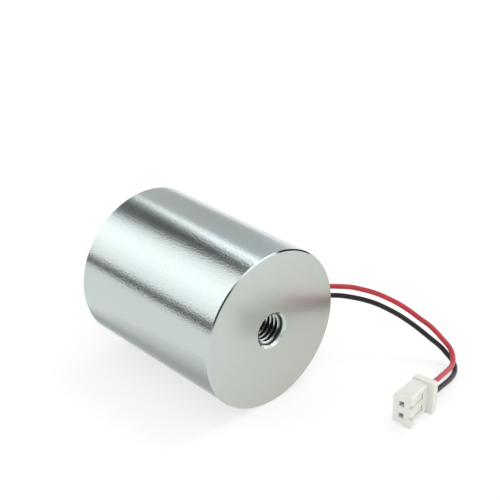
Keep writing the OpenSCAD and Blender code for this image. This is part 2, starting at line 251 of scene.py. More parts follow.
class Finish:
    """A material whose nodes are added one at a time to a principled shader."""

    def __init__(self, name, colour, roughness, metallic=0.0):
        self.material = bpy.data.materials.new(name)
        self.material.use_nodes = True
        self.tree = self.material.node_tree
        self.tree.nodes.clear()
        self.shader = self.tree.nodes.new("ShaderNodeBsdfPrincipled")
        output = self.tree.nodes.new("ShaderNodeOutputMaterial")
        self.tree.links.new(self.shader.outputs["BSDF"], output.inputs["Surface"])
        self.place = self.tree.nodes.new("ShaderNodeTexCoord").outputs["Object"]
        self.material.diffuse_color = (*colour, 1)
        self.set(Metallic=metallic, Roughness=roughness)
        self.shader.inputs["Base Color"].default_value = (*colour, 1)

    def set(self, **values):
        """Set the shader's own sockets; underscores stand for spaces."""
        for name, value in values.items():
            self.shader.inputs[name.replace("_", " ")].default_value = value

    def feed(self, name, source):
        """Link a source to one of the shader's sockets."""
        self.tree.links.new(source, self.shader.inputs[name])

    def node(self, kind, inputs=None, **options):
        """Add a node; an input is a socket to link or a value to set."""
        made = self.tree.nodes.new(kind)
        for name, value in options.items():
            setattr(made, name, value)
        for key, value in (inputs or {}).items():
            if isinstance(value, bpy.types.NodeSocket):
                self.tree.links.new(value, made.inputs[key])
            else:
                made.inputs[key].default_value = value
        return made

    def math(self, operation, first, second=0.0):
        return self.node("ShaderNodeMath", {0: first, 1: second}, operation=operation).outputs[0]

    def vector(self, operation, first, second=(0, 0, 0)):
        made = self.node("ShaderNodeVectorMath", {0: first, 1: second}, operation=operation)
        single = operation in ("LENGTH", "DOT_PRODUCT")
        return made.outputs["Value" if single else "Vector"]

    def stretched(self, scale, source=None, shift=(0, 0, 0)):
        """Object coordinates, or another source, moved and stretched."""
        inputs = {"Vector": source or self.place, "Location": shift, "Scale": scale}
        return self.node("ShaderNodeMapping", inputs).outputs["Vector"]

    def noise(self, size, detail=2.0, source=None, roughness=0.5):
        """Noise with features of about the given size in metres."""
        inputs = {"Vector": source or self.place, "Scale": 1 / size, "Detail": detail,
                  "Roughness": roughness}
        return self.node("ShaderNodeTexNoise", inputs).outputs["Fac"]

    def cells(self, size, source=None):
        inputs = {"Vector": source or self.place, "Scale": 1 / size}
        return self.node("ShaderNodeTexVoronoi", inputs).outputs["Distance"]

    def rings(self, width, shift):
        """Concentric rings round the magnet's axis."""
        centred = self.stretched((1, 1, 1), shift=shift)
        inputs = {"Vector": centred, "Scale": 0.1 / width, "Distortion": 0.0}
        return self.node("ShaderNodeTexWave", inputs, wave_type="RINGS",
                         rings_direction="X").outputs["Fac"]

    def between(self, source, low, high, from_low=0.0, from_high=1.0):
        """Map a source to a range of values, without going past it."""
        inputs = {"Value": source, "From Min": from_low, "From Max": from_high,
                  "To Min": low, "To Max": high}
        return self.node("ShaderNodeMapRange", inputs).outputs["Result"]

    def blend(self, source, first, second):
        """A colour between two, by a source from 0 to 1."""
        made = self.node("ShaderNodeMix", {"Factor": source}, data_type="RGBA")
        for index, colour in ((6, first), (7, second)):
            if isinstance(colour, bpy.types.NodeSocket):
                self.tree.links.new(colour, made.inputs[index])
            else:
                made.inputs[index].default_value = (*colour, 1)
        return made.outputs[2]

    def bump(self, height, depth, strength=1.0, under=None):
        """Bump of the given depth in metres, over an earlier one where there is one."""
        inputs = {"Height": height, "Distance": depth, "Strength": strength}
        if under:
            inputs["Normal"] = under
        return self.node("ShaderNodeBump", inputs).outputs["Normal"]


def shade(colour, factor):
    """A colour made lighter or darker."""
    return tuple(min(1.0, part * factor) for part in colour)


def turned_tangent(finish):
    """The direction across the fine turning marks, on faces and walls alike."""
    from_axis = finish.stretched((1, 1, 1), shift=AXIS_SHIFT)
    along_marks = finish.vector("CROSS_PRODUCT", (1, 0, 0), from_axis)
    normal = finish.node("ShaderNodeNewGeometry").outputs["Normal"]
    across = finish.vector("CROSS_PRODUCT", normal, along_marks)
    return finish.vector("NORMALIZE", across)


def zinc_plate(colour):
    """Satin zinc plate over turned steel: fine grain, a random tone on the wall with a painted
    reflection of cool light that makes it bluer towards its top, and a warmer face painted darker
    than the wall as shade, paler towards its upper, -y side.
    """
    finish = Finish("zinc_plate", colour, 0.2, metallic=1.0)
    normal = finish.node("ShaderNodeNewGeometry").outputs["Normal"]
    endwise = finish.math("ABSOLUTE", finish.vector("DOT_PRODUCT", normal, (1, 0, 0)))
    on_face = finish.between(endwise, 0, 1, 0.8, 0.95)
    # painted reflection: the height ramp below turns the wall bluer towards its top, over the
    # random tone of the noise
    height = finish.vector("DOT_PRODUCT", finish.place, (0, 0, 1))
    cloud = finish.math("ADD", finish.between(finish.noise(9 * MM, 2.0), 0, 0.5, 0.35, 0.65),
                        finish.between(height, 0, 0.5, 0.8 * AXIS_Z, 1.9 * AXIS_Z))
    fine = finish.noise(0.18 * MM, 2.0, roughness=0.6)
    peel = finish.noise(0.28 * MM, 1.0, roughness=0.5)
    green = (colour[0] * 0.965, colour[1], colour[2] * 0.99)
    blue = (colour[0] * 0.93, colour[1], colour[2] * 1.06)
    # straw and pale, the face's colours, are painted darker than the wall's as shade; straw is
    # also a warmer tint
    straw = (colour[0] * 0.855, colour[1] * 0.84, colour[2] * 0.785)
    pale = (colour[0] * 0.965, colour[1] * 0.98, colour[2] * 0.965)
    # the face fades from straw to pale towards its upper, -y side
    slant = finish.vector("DOT_PRODUCT", finish.place, (0, -1.0, 0.8))
    drift = finish.between(slant, 0, 1, 0.8 * AXIS_Z - 13 * MM, 0.8 * AXIS_Z + 12 * MM)
    wall = finish.blend(cloud, green, blue)
    tint = finish.blend(on_face, wall, finish.blend(drift, straw, pale))
    finish.feed("Base Color", finish.blend(finish.between(fine, 0, 0.2, 0.4, 0.7), tint,
                                           shade(colour, 0.7)))
    finish.feed("Roughness", finish.math("ADD", finish.between(fine, 0.11, 0.19, 0.3, 0.7),
                                         finish.between(on_face, 0.0, 0.045)))
    marks = finish.bump(finish.rings(0.11 * MM, AXIS_SHIFT), 0.0004 * MM, 0.5)
    peeled = finish.bump(peel, 0.032 * MM, finish.between(endwise, 0.5, 0.05, 0.5, 0.9),
                         under=marks)
    grain = finish.bump(fine, 0.020 * MM, finish.between(endwise, 0.5, 0.04, 0.5, 0.9),
                        under=peeled)
    finish.feed("Normal", grain)
    finish.set(Anisotropic=0.35)
    finish.feed("Tangent", turned_tangent(finish))
    return finish.material


def core_steel(colour):
    """Turned steel with fine concentric marks."""
    finish = Finish("core_steel", colour, 0.28, metallic=1.0)
    rings = finish.rings(0.16 * MM, AXIS_SHIFT)
    grain = finish.noise(0.3 * MM, 3.0)
    finish.feed("Base Color", finish.blend(grain, shade(colour, 0.88), shade(colour, 1.1)))
    finish.feed("Roughness", finish.between(grain, 0.22, 0.36, 0.3, 0.7))
    marks = finish.bump(rings, 0.002 * MM, 0.5)
    finish.feed("Normal", finish.bump(grain, 0.002 * MM, 0.4, under=marks))
    finish.set(Anisotropic=0.6)
    finish.feed("Tangent", turned_tangent(finish))
    return finish.material


def thread_steel(colour, crest, root):
    """Tapped steel with painted light: the flanks painted brighter than the plate as a highlight,
    and painted shade on the crests and towards the roots.
    """
    finish = Finish("thread_steel", colour, 0.22, metallic=1.0)
    centred = finish.stretched((0, 1, 1), shift=AXIS_SHIFT)
    depth = finish.between(finish.vector("LENGTH", centred), 0, 1, crest,
                           crest + 0.85 * (root - crest))
    normal = finish.node("ShaderNodeNewGeometry").outputs["Normal"]
    endwise = finish.math("ABSOLUTE", finish.vector("DOT_PRODUCT", normal, (1, 0, 0)))
    # painted shade on the crests and towards the roots of the ridge, where the hole's reflections
    # are dark
    painted_shade_mask = finish.math("MAXIMUM", depth, finish.between(endwise, 1, 0, 0.3, 0.6))
    grain = finish.noise(0.2 * MM, 2.0)
    # the flanks take a painted highlight, brighter than the plate; the crests and the roots take
    # painted shade
    finish.feed("Base Color", finish.blend(painted_shade_mask, shade(colour, 1.25), shade(colour, 0.06)))
    finish.feed("Roughness", finish.between(grain, 0.16, 0.3, 0.3, 0.7))
    finish.feed("Normal", finish.bump(grain, 0.004 * MM, 0.4))
    return finish.material


def cast_resin(colour):
    """Dark cast resin, glossy, with a few pinholes and a soft ripple."""
    finish = Finish("resin", colour, 0.22)
    ripple = finish.noise(3 * MM, 2.0)
    dust = finish.noise(0.2 * MM, 2.0)
    pinhole = finish.between(finish.cells(1.6 * MM), 0.0, 1.0, 0.04, 0.09)
    finish.feed("Base Color", finish.blend(dust, shade(colour, 0.8), shade(colour, 1.7)))
    finish.feed("Roughness", finish.between(dust, 0.16, 0.34, 0.3, 0.7))
    swell = finish.bump(ripple, 0.06 * MM, 0.5)
    finish.feed("Normal", finish.bump(pinhole, 0.05 * MM, 0.6, under=swell))
    return finish.material


def moulded_rubber(colour):
    """Matt black rubber with a fine mould grain."""
    finish = Finish("grommet_rubber", colour, 0.62)
    grain = finish.noise(0.12 * MM, 3.0)
    finish.feed("Base Color", finish.blend(grain, shade(colour, 0.7), shade(colour, 1.6)))
    finish.feed("Roughness", finish.between(grain, 0.5, 0.75, 0.3, 0.7))
    finish.feed("Normal", finish.bump(grain, 0.012 * MM, 0.5))
    return finish.material


def lead_insulation(name, colour):
    """Satin extruded insulation with faint die lines that follow the lead."""
    finish = Finish(name, colour, 0.36)
    along = finish.node("ShaderNodeAttribute", attribute_name="along").outputs["Fac"]
    around = finish.node("ShaderNodeAttribute", attribute_name="around").outputs["Fac"]
    turn = finish.math("MULTIPLY", around, math.tau)
    inputs = {"X": finish.math("COSINE", turn), "Y": finish.math("SINE", turn),
              "Z": finish.math("MULTIPLY", along, 60.0)}
    unrolled = finish.node("ShaderNodeCombineXYZ", inputs).outputs["Vector"]
    die_lines = finish.noise(0.28, 2.0, source=unrolled)
    grain = finish.noise(0.09 * MM, 2.0)
    tone = finish.between(finish.noise(2.5 * MM, 2.0), 0, 1, 0.3, 0.7)
    finish.feed("Base Color", finish.blend(tone, shade(colour, 0.9), shade(colour, 1.14)))
    finish.feed("Roughness", finish.between(grain, 0.24, 0.36, 0.3, 0.7))
    lines = finish.bump(die_lines, 0.008 * MM, 0.5)
    finish.feed("Normal", finish.bump(grain, 0.004 * MM, 0.4, under=lines))
    finish.set(Specular_IOR_Level=0.4)
    return finish.material


def moulded_nylon(colour):
    """Off-white translucent nylon with a fine spark-eroded grain."""
    finish = Finish("housing_plastic", colour, 0.42)
    grain = finish.noise(0.1 * MM, 2.0)
    cloud = finish.noise(1.8 * MM, 2.0)
    warm = (colour[0], colour[1] * 0.985, colour[2] * 0.93)
    finish.feed("Base Color", finish.blend(finish.between(cloud, 0, 1, 0.35, 0.7), colour, warm))
    finish.feed("Roughness", finish.between(grain, 0.36, 0.5, 0.3, 0.7))
    finish.feed("Normal", finish.bump(grain, 0.006 * MM, 0.4))
    finish.set(Subsurface_Weight=0.3, Subsurface_Radius=(1.0, 0.9, 0.7),
               Subsurface_Scale=0.35 * MM, IOR=1.53)
    return finish.material


def tinned_contact(colour):
    """Stamped and tinned sheet, with faint rolling lines."""
    finish = Finish("contact_metal", colour, 0.45, metallic=0.4)
    rolled = finish.noise(0.1 * MM, 2.0, source=finish.stretched((1, 0.15, 1)))
    finish.feed("Base Color", finish.blend(rolled, shade(colour, 0.8), shade(colour, 1.12)))
    finish.feed("Roughness", finish.between(rolled, 0.38, 0.55, 0.3, 0.7))
    finish.feed("Normal", finish.bump(rolled, 0.003 * MM, 0.4))
    return finish.material


def enamelled_copper(colour):
    """Copper winding, with its turns lying side by side."""
    finish = Finish("copper_wire", colour, 0.25, metallic=1.0)
    inputs = {"Vector": finish.place, "Scale": 0.1 / (0.3 * MM), "Distortion": 0.4}
    turns = finish.node("ShaderNodeTexWave", inputs, bands_direction="X").outputs["Fac"]
    finish.feed("Base Color", finish.blend(turns, shade(colour, 0.55), shade(colour, 1.1)))
    finish.feed("Roughness", finish.between(finish.noise(0.2 * MM), 0.2, 0.35, 0.3, 0.7))
    finish.feed("Normal", finish.bump(turns, 0.05 * MM, 0.7))
    return finish.material


def smooth_plastic(name, colour, roughness, grain_size):
    """Plain plastic for the pieces inside, with a fine grain and a soft cloud of tone."""
    finish = Finish(name, colour, roughness)
    grain = finish.noise(grain_size, 2.0)
    cloud = finish.noise(3 * MM, 2.0)
    finish.feed("Base Color", finish.blend(cloud, shade(colour, 0.9), shade(colour, 1.08)))
    finish.feed("Roughness", finish.between(grain, roughness - 0.07, roughness + 0.1, 0.3, 0.7))
    finish.feed("Normal", finish.bump(grain, 0.006 * MM, 0.4))
    return finish.material


def dress(node_name, material):
    """Give a CAD node its finish."""
    materials = frame["nodes"][node_name].data.materials
    materials.clear()
    materials.append(material)


def new_piece(name, mesh):
    """Link a finished mesh as a piece that rides on the magnet."""
    piece = bpy.data.objects.new(name, mesh)
    bpy.context.scene.collection.objects.link(piece)
    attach(piece, BODY)
    return piece


def node_tree(name, inputs):
    """An empty geometry tree with named inputs, its input node and its output node."""
    tree = bpy.data.node_groups.new(name, "GeometryNodeTree")
    tree.interface.new_socket("Geometry", in_out="INPUT", socket_type="NodeSocketGeometry")
    for label, kind in inputs:
        tree.interface.new_socket(label, in_out="INPUT", socket_type=f"NodeSocket{kind}")
    tree.interface.new_socket("Geometry", in_out="OUTPUT", socket_type="NodeSocketGeometry")
    return tree, tree.nodes.new("NodeGroupInput"), tree.nodes.new("NodeGroupOutput")


def add(tree, kind, inputs=None, **options):
    """Add a node to a geometry tree; an input is a socket to link or a value to set."""
    made = tree.nodes.new(f"GeometryNode{kind}" if kind[:6] != "Shader" else kind)
    for name, value in options.items():
        setattr(made, name, value)
    for key, value in (inputs or {}).items():
        if isinstance(value, bpy.types.NodeSocket):
            tree.links.new(value, made.inputs[key])
        else:
            made.inputs[key].default_value = value
    return made


def finish_tree(tree, output, mesh, material):
    """End a tree in real geometry with its material."""
    smooth = add(tree, "SetShadeSmooth", {"Geometry": mesh})
    real = add(tree, "RealizeInstances", {"Geometry": smooth.outputs[0]})
    painted = add(tree, "SetMaterial", {"Geometry": real.outputs[0], "Material": material})
    tree.links.new(painted.outputs[0], output.inputs[0])


def grow(tree, mesh, values, sharp_angle):
    """Run a tree on a mesh with the given inputs, and return the result as a plain mesh."""
    carrier = bpy.data.objects.new(tree.name, mesh)
    bpy.context.scene.collection.objects.link(carrier)
    modifier = carrier.modifiers.new(tree.name, "NODES")
    modifier.node_group = tree
    for item in tree.interface.items_tree:
        if item.in_out == "INPUT" and item.name in values:
            modifier[item.identifier] = values[item.name]
    evaluated = carrier.evaluated_get(bpy.context.evaluated_depsgraph_get())
    made = bpy.data.meshes.new_from_object(evaluated)
    carrier.modifiers.remove(modifier)
    bpy.data.objects.remove(carrier)
    shell = bmesh.new()
    shell.from_mesh(made)
    bmesh.ops.recalc_face_normals(shell, faces=shell.faces)
    shell.to_mesh(made)
    shell.free()
    made.set_sharp_from_angle(angle=sharp_angle)
    if not made.polygons:
        raise RuntimeError(f"{tree.name} made no faces")
    return made


def lead_tree():
    """A round tube along a line, which carries how far along and how far round it is."""
    tree, given, output = node_tree("Lead Insulation", (
        ("Diameter", "Float"), ("Sides", "Int"), ("Insulation", "Material")))
    line = add(tree, "MeshToCurve", {"Mesh": given.outputs["Geometry"]})
    along = add(tree, "SplineParameter")
    marked = add(tree, "StoreNamedAttribute", {
        "Geometry": line.outputs[0], "Name": "along", "Value": along.outputs["Length"]})
    radius = add(tree, "ShaderNodeMath", {0: given.outputs["Diameter"], 1: 0.5},
                 operation="MULTIPLY")
    circle = add(tree, "CurvePrimitiveCircle", {
        "Resolution": given.outputs["Sides"], "Radius": radius.outputs[0]})
    around = add(tree, "SplineParameter")
    rim = add(tree, "StoreNamedAttribute", {
        "Geometry": circle.outputs["Curve"], "Name": "around", "Value": around.outputs["Factor"]})
    tube = add(tree, "CurveToMesh", {
        "Curve": marked.outputs[0], "Profile Curve": rim.outputs[0], "Fill Caps": True})
    finish_tree(tree, output, tube.outputs[0], given.outputs["Insulation"])
    return tree


def smooth_route(route, steps):
    """Points on a smooth curve through a route's points, held inside the route's own box."""
    points = [Vector(point) * MM for point in route]
    low = [min(axis) for axis in zip(*points)]
    high = [max(axis) for axis in zip(*points)]
    ends = [2 * points[0] - points[1], *points, 2 * points[-1] - points[-2]]
    smooth = []
    for before, start, end, after in zip(ends, ends[1:], ends[2:], ends[3:]):
        for step in range(steps):
            t = step / steps
            point = 0.5 * (
                2 * start + (end - before) * t
                + (2 * before - 5 * start + 4 * end - after) * t ** 2
                + (3 * start - before - 3 * end + after) * t ** 3)
            smooth.append(Vector(
                min(max(value, a), b) for value, a, b in zip(point, low, high)))
    return smooth + [points[-1]]


def line_mesh(name, points):
    """A mesh of one open line."""
    mesh = bpy.data.meshes.new(name)
    mesh.from_pydata(points, [(i, i + 1) for i in range(len(points) - 1)], [])
    return mesh


class MAGNET_OT_leads(bpy.types.Operator):
    """Make the two insulated leads along their routes"""

    bl_idname = "magnet.leads"
    bl_label = "Leads"

    def execute(self, context):
        settings = context.scene.magnet_leads
        tree = lead_tree()
        for colour_name, colour, route, carried in (
                ("red", settings.red, RED_ROUTE,
                 ("red_terminal", "connector_housing", "lead_grommet")),
                ("black", settings.black, BLACK_ROUTE, ("black_terminal",))):
            slot_name = f"{colour_name}_insulation"
            points = smooth_route(route, settings.steps)
            mesh = grow(tree, line_mesh(slot_name, points), {
                "Diameter": settings.diameter, "Sides": settings.sides,
                "Insulation": lead_insulation(slot_name, tuple(colour))}, math.radians(60))
            lead = new_piece(f"{colour_name}_wire", mesh)
            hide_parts(f"{colour_name}_lead")
        return {"FINISHED"}


def thread_tree():
    """A ridge wound on the inside of a bore, which fades out at both ends."""
    deep_share, mouth_share, tip = 0.06, 0.05, 0.05
    tree, given, output = node_tree("Mounting Thread", (
        ("Radius", "Float"), ("Pitch", "Float"), ("Turns", "Float"), ("Points", "Int"),
        ("Height", "Float"), ("Base", "Float"), ("Crest", "Float"), ("Sink", "Float"),
        ("Deep End", "Vector"), ("Steel", "Material")))
    length = add(tree, "ShaderNodeMath", {0: given.outputs["Pitch"], 1: given.outputs["Turns"]},
                 operation="MULTIPLY")
    spiral = add(tree, "CurveSpiral", {
        "Resolution": given.outputs["Points"], "Rotations": given.outputs["Turns"],
        "Start Radius": given.outputs["Radius"], "End Radius": given.outputs["Radius"],
        "Height": length.outputs[0], "Reverse": False})
    upright = add(tree, "SetCurveNormal", {"Curve": spiral.outputs[0]}, mode="Z_UP")
    ridge = add(tree, "CurvePrimitiveQuadrilateral", {
        "Height": given.outputs["Height"], "Bottom Width": given.outputs["Base"],
        "Top Width": given.outputs["Crest"], "Offset": 0.0}, mode="TRAPEZOID")
    half = add(tree, "ShaderNodeMath", {0: given.outputs["Height"], 1: 0.5},
               operation="MULTIPLY")
    foot = add(tree, "ShaderNodeMath", {0: half.outputs[0], 1: given.outputs["Sink"]},
               operation="SUBTRACT")
    inward = add(tree, "ShaderNodeCombineXYZ", {"X": foot.outputs[0]})
    profile = add(tree, "Transform", {
        "Geometry": ridge.outputs[0], "Translation": inward.outputs[0],
        "Rotation": (0, 0, math.radians(-90))})
    along = add(tree, "SplineParameter")
    deep = add(tree, "ShaderNodeMapRange", {
        0: along.outputs["Factor"], 1: 0.0, 2: deep_share, 3: tip, 4: 1.0})
    mouth = add(tree, "ShaderNodeMapRange", {
        0: along.outputs["Factor"], 1: 1 - mouth_share, 2: 1.0, 3: 1.0, 4: tip})
    fade = add(tree, "ShaderNodeMath", {0: deep.outputs[0], 1: mouth.outputs[0]},
               operation="MULTIPLY")
    swept = add(tree, "CurveToMesh", {
        "Curve": upright.outputs[0], "Profile Curve": profile.outputs[0],
        "Scale": fade.outputs[0], "Fill Caps": True})
    laid = add(tree, "Transform", {
        "Geometry": swept.outputs[0], "Translation": given.outputs["Deep End"],
        "Rotation": (0, math.radians(90), 0)})
    finish_tree(tree, output, laid.outputs[0], given.outputs["Steel"])
    return tree


class MAGNET_OT_thread(bpy.types.Operator):
    """Wind the thread's ridge into the mounting hole"""

    bl_idname = "magnet.thread"
    bl_label = "Mounting thread"

    def execute(self, context):
        settings = context.scene.magnet_thread
        depth = settings.start + settings.pitch * settings.turns
        values = {"Radius": settings.radius, "Pitch": settings.pitch, "Turns": settings.turns,
                  "Points": settings.points, "Height": settings.height, "Base": settings.base,
                  "Crest": settings.crest, "Sink": settings.sink,
                  "Deep End": (FACE_X - depth, 0, AXIS_Z),
                  "Steel": thread_steel(tuple(context.scene.magnet_finishes.zinc),
                                        settings.radius - settings.height, settings.radius)}
        mesh = grow(thread_tree(), bpy.data.meshes.new("thread"), values, math.radians(30))
        new_piece("mounting_thread", mesh)
        return {"FINISHED"}


class MAGNET_OT_steel(bpy.types.Operator):
    """Give the shell and the core their finishes"""

    bl_idname = "magnet.steel"
    bl_label = "Shell and core"

    def execute(self, context):
        finishes = context.scene.magnet_finishes
        dress("shell", zinc_plate(tuple(finishes.zinc)))
        dress("core", core_steel(tuple(finishes.steel)))
        return {"FINISHED"}


def closed_mesh(name, work, material, sharp_angle):
    """A smooth mesh from a closed shape, with its faces outwards and its sharp edges kept."""
    bmesh.ops.recalc_face_normals(work, faces=work.faces)
    mesh = bpy.data.meshes.new(name)
    work.to_mesh(mesh)
    work.free()
    mesh.materials.append(material)
    mesh.shade_smooth()
    mesh.set_sharp_from_angle(angle=sharp_angle)
    return mesh


def revolved(name, profile, segments, material):
    """A closed profile of (x, radius) points turned round the magnet's axis."""
    work = bmesh.new()
    rings = []
    for turn in range(segments):
        angle = math.tau * turn / segments
        rings.append([work.verts.new((x, r * math.cos(angle), AXIS_Z + r * math.sin(angle)))
                      for x, r in profile])
    for here, there in zip(rings, rings[1:] + rings[:1]):
        for i in range(len(profile)):
            j = (i + 1) % len(profile)
            work.faces.new((here[i], here[j], there[j], there[i]))
    return closed_mesh(name, work, material, math.radians(50))


class MAGNET_OT_resin(bpy.types.Operator):
    """Cast the resin seal at the pole end, crept up the steel at both rims"""

    bl_idname = "magnet.resin"
    bl_label = "Resin seal"

    def execute(self, context):
        finishes = context.scene.magnet_finishes
        steps, steepness, segments = 24, 14, 160
        profile = [(RESIN_HIGH.x, CORE_R), (RESIN_HIGH.x, RESIN_R)]
        for step in range(steps + 1):
            across = step / steps
            creep = math.exp(-across * steepness) + math.exp((across - 1) * steepness)
            radius = RESIN_R + (CORE_R - RESIN_R) * across
            profile.append((RESIN_LOW.x - finishes.meniscus * creep, radius))
        mesh = revolved("resin", profile, segments, cast_resin(tuple(finishes.resin)))
        seal = new_piece("resin_seal", mesh)
        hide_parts("potting_ring")
        return {"FINISHED"}


class MAGNET_OT_grommet(bpy.types.Operator):
    """Give the lead grommet its rubber"""

    bl_idname = "magnet.grommet"
    bl_label = "Grommet"

    def execute(self, context):
        dress("lead_grommet", moulded_rubber(tuple(context.scene.magnet_finishes.rubber)))
        return {"FINISHED"}


def spring_mesh(name, height, settings, material):
    """A contact's spring, which fills the housing's window just under its rim."""
    corner = Vector(CONNECTOR_CORNER) * MM
    turn = Matrix.Rotation(CONNECTOR_TURN, 3, "Z")
    half = settings.spring_width / 2
    work = bmesh.new()
    rows = []
    for back, out in SPRING_CURVE:
        under, over = out * MM, out * MM + settings.spring_thickness
        section = ((under, -half), (over, -half), (over, half), (under, half))
        rows.append([work.verts.new(corner + turn @ Vector((level, back * MM, height + side)))
                     for level, side in section])
    for here, there in zip(rows, rows[1:]):
        for i in range(len(here)):
            j = (i + 1) % len(here)
            work.faces.new((here[i], here[j], there[j], there[i]))
    for end in (rows[0], rows[-1]):
        work.faces.new(end)
    bmesh.ops.recalc_face_normals(work, faces=work.faces)
    sharp = [edge for edge in work.edges if edge.calc_face_angle() > math.radians(60)]
    bmesh.ops.bevel(work, geom=sharp, offset=settings.spring_edge, segments=2, affect="EDGES")
    return closed_mesh(name, work, material, math.radians(40))


class MAGNET_OT_connector(bpy.types.Operator):
    """Give the connector its nylon, and its contacts their tin and their springs"""

    bl_idname = "magnet.connector"
    bl_label = "Connector"

    def execute(self, context):
        finishes = context.scene.magnet_finishes
        dress("connector_housing", moulded_nylon(tuple(finishes.nylon)))
        tin = tinned_contact(tuple(finishes.contact))
        for colour_name, route in (("red", RED_ROUTE), ("black", BLACK_ROUTE)):
            dress(f"{colour_name}_terminal", tin)
            name = f"{colour_name}_contact_spring"
            crimp_height = route[-1][2] * MM
            mesh = spring_mesh(name, crimp_height, context.scene.magnet_connector, tin)
            new_piece(name, mesh)
        return {"FINISHED"}


class MAGNET_OT_coil(bpy.types.Operator):
    """Give the coil's pieces inside the shell their finishes"""

    bl_idname = "magnet.coil"
    bl_label = "Coil"

    def execute(self, context):
        finishes = context.scene.magnet_finishes
        dress("winding", enamelled_copper(tuple(finishes.copper)))
        dress("winding_tape", smooth_plastic("tape_film", tuple(finishes.film), 0.22, 0.4 * MM))
        dress("bobbin", smooth_plastic("bobbin_plastic", tuple(finishes.bobbin), 0.5, 0.12 * MM))
        sleeve = smooth_plastic("sleeve_plastic", tuple(finishes.sleeve), 0.5, 0.15 * MM)
        for node_name in ("red_splice_sleeve", "black_splice_sleeve"):
            dress(node_name, sleeve)
        return {"FINISHED"}


def seen_directly(tree):
    """A factor that is 1 for rays from the camera, and for reflected and transmitted ones."""
    path = tree.nodes.new("ShaderNodeLightPath")
    seen = path.outputs["Is Camera Ray"]
    for ray in ("Is Glossy Ray", "Is Transmission Ray"):
        either = tree.nodes.new("ShaderNodeMath")
        either.operation = "MAXIMUM"
        tree.links.new(seen, either.inputs[0])
        tree.links.new(path.outputs[ray], either.inputs[1])
        seen = either.outputs[0]
    return seen


def stage_mesh(name, points, faces, material):
    """A piece of the stage, which isn't part of the magnet."""
    mesh = bpy.data.meshes.new(name)
    mesh.from_pydata(points, [], faces)
    mesh.materials.append(material)
    piece = bpy.data.objects.new(name, mesh)
    bpy.context.scene.collection.objects.link(piece)
    return piece


def floor_finish(colour, paleness):
    """Matt paper, whose shadows are paler where the camera or a reflection sees them."""
    finish = Finish("stage_paper", colour, 0.9)
    finish.set(Specular_IOR_Level=0.0, Emission_Color=(1, 1, 1, 1))
    seen = seen_directly(finish.tree)
    finish.feed("Base Color", finish.blend(seen, colour, shade(colour, 1 - paleness)))
    finish.feed("Emission Strength", finish.between(seen, 0.0, paleness))
    return finish.material


def card_finish(name, low, middle, high, edge):
    """A card that glows from one brightness, through another, to a third across its width.

    The change at each edge takes the given share of the width. The card's attributes say how far
    across it each point is, and how far the card covers what is behind it.
    """
    finish = Finish(name, (0, 0, 0), 1.0)
    finish.set(Specular_IOR_Level=0.0, Emission_Color=(1, 1, 1, 1))
    across = finish.node("ShaderNodeAttribute", attribute_name="across").outputs["Fac"]
    first = finish.node("ShaderNodeMapRange", {
        "Value": across, "From Max": edge, "To Min": low, "To Max": middle},
        interpolation_type="SMOOTHSTEP").outputs["Result"]
    second = finish.node("ShaderNodeMapRange", {
        "Value": across, "From Min": 1 - edge, "To Min": 0.0, "To Max": high - middle},
        interpolation_type="SMOOTHSTEP").outputs["Result"]
    finish.feed("Emission Strength", finish.math("ADD", first, second))
    cover = finish.node("ShaderNodeAttribute", attribute_name="cover").outputs["Fac"]
    finish.feed("Alpha", cover)
    return finish.material


def glowing_card(name, points, faces, spread, covers, glow):
    """A card that only reflections show."""
    card = stage_mesh(name, points, faces, card_finish(name, *glow))
    for attribute_name, values in (("across", spread), ("cover", covers)):
        attribute = card.data.attributes.new(attribute_name, "FLOAT", "POINT")
        attribute.data.foreach_set("value", values)
    for ray_kind in ("camera", "diffuse", "shadow", "transmission", "volume_scatter"):
        setattr(card, f"visible_{ray_kind}", False)


def reflection_card(name, eye, rear, front, feet, tilt, reach, width, glow):
    """A card where the shell, or its rim, mirrors the camera's view between two angles.

    The angles run round the magnet's axis, in degrees, and the feet are the places along it that
    mirror the card's rear and front edges, which the width then spreads further apart. Tilt turns
    the mirroring surface to the magnet's end. A card with no reach lies on the floor. Beyond its
    rear and front edges the card fades out.
    """
    steps = 16
    fade = 0.25
    above_floor = 0.3 * MM
    columns = ((-fade, 0.0), (0.0, 1.0), (1.0, 1.0), (1 + fade, 0.0))
    points, spread, covers = [], [], []
    for step in range(steps + 1):
        edges = []
        for (first, last), foot, edge in ((rear, feet[0], -0.5), (front, feet[1], 0.5)):
            angle = math.radians(first + (last - first) * step / steps)
            outward = Vector((0, math.cos(angle), math.sin(angle)))
            round_axis = Vector((0, -math.sin(angle), math.cos(angle)))
            normal = math.cos(tilt) * outward + Vector((math.sin(tilt), 0, 0))
            mirror = Vector((foot, 0, AXIS_Z)) + SHELL_R * outward
            ray = (mirror - eye).normalized().reflect(normal)
            side = ray.cross(round_axis).normalized() * width * edge
            distance = reach or (above_floor - mirror.z) / ray.z
            edges.append(mirror + ray * distance + side)
        for place, cover in columns:
            points.append(edges[0].lerp(edges[1], place))
            spread.append(step / steps)
            covers.append(cover)
    count = len(columns)
    faces = [(row * count + i, (row + 1) * count + i, (row + 1) * count + i + 1,
              row * count + i + 1) for row in range(steps) for i in range(count - 1)]
    glowing_card(name, points, faces, spread, covers, glow)


def softbox(name, centre, size, facing, brightness):
    """A rectangular area light whose surface has the given brightness."""
    light = bpy.data.lights.new(name, "AREA")
    light.shape = "RECTANGLE"
    light.size, light.size_y = size
    light.energy = brightness * math.pi * size[0] * size[1]
    lamp = bpy.data.objects.new(name, light)
    lamp.location = centre
    lamp.rotation_mode = "QUATERNION"
    lamp.rotation_quaternion = (Vector(facing) - Vector(centre)).to_track_quat("-Z", "Y")
    bpy.context.scene.collection.objects.link(lamp)
    return lamp


